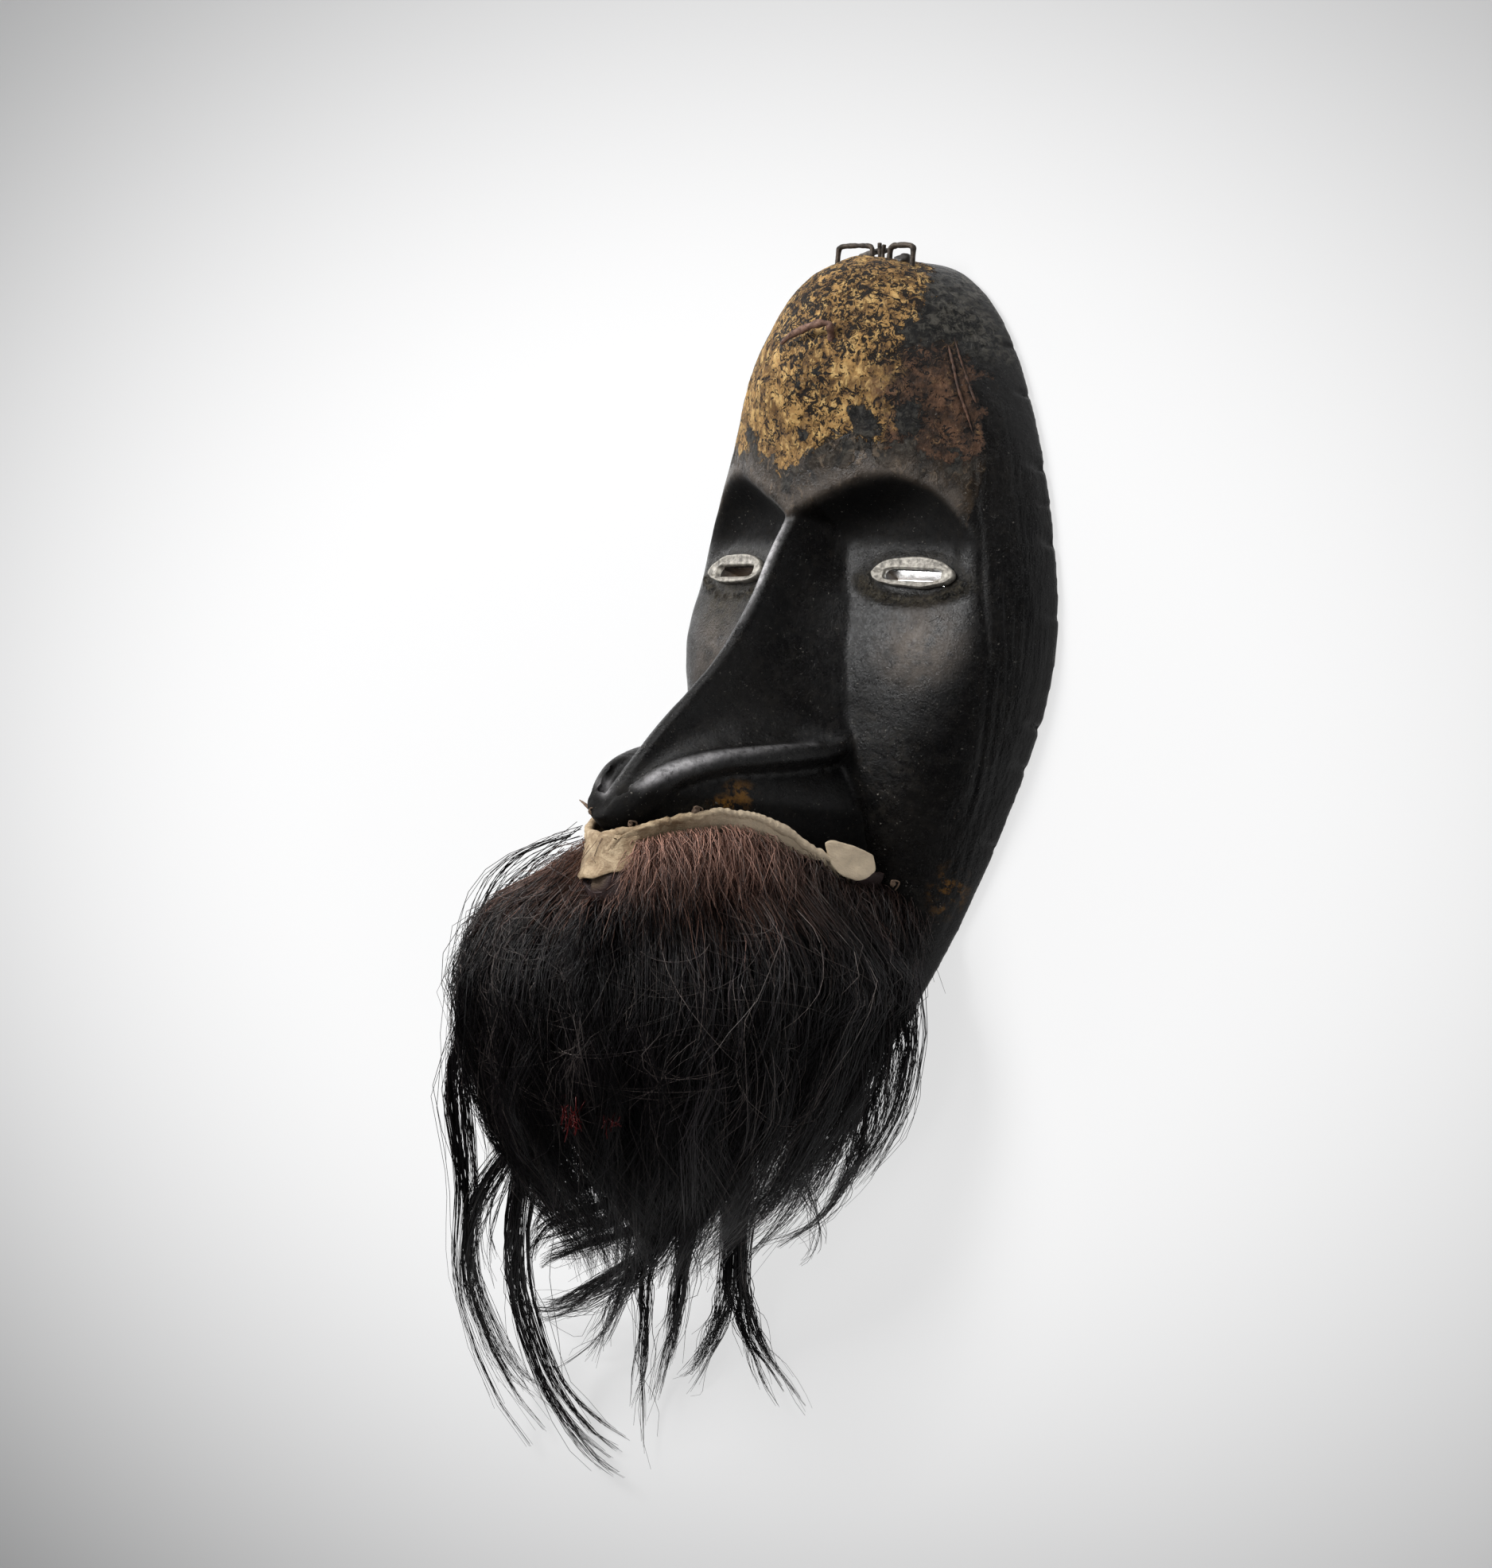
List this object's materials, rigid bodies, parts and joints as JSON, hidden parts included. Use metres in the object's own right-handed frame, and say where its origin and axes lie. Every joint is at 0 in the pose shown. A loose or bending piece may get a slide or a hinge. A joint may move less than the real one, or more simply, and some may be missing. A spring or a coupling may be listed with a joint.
{
  "type": "carved face mask",
  "caption": "Carved hollow face mask with a long beak, arched brows, metal-rimmed eye slits and a long black fur beard, lying on its back.",
  "frame": {"origin": "middle of the bounding box's footprint, on the surface that the mask lies on", "axes": "+X towards the mask's own left side, +Y up the face from beard to crown, +Z out of the face, which points up here"},
  "size_m": [0.1962, 0.3654, 0.1196],
  "materials": {
    "carved_wood": "dark patina with a semi-gloss, worn to bare ochre wood on the forehead",
    "eye_metal": "dull and scratched",
    "iron": "old and dirty",
    "rusty_iron": "rusty",
    "black_fur": "coarse long hair with a soft sheen on a thin hide"
  },
  "bodies": {
    "root": {"wooden_mask": "carved_wood", "eye_ring_left": "eye_metal", "eye_ring_right": "eye_metal", "crown_staple_left": "iron", "crown_staple_right": "iron", "crown_nail": "iron", "forehead_nail": "rusty_iron", "fur_beard": "black_fur"}
  },
  "joints": []
}
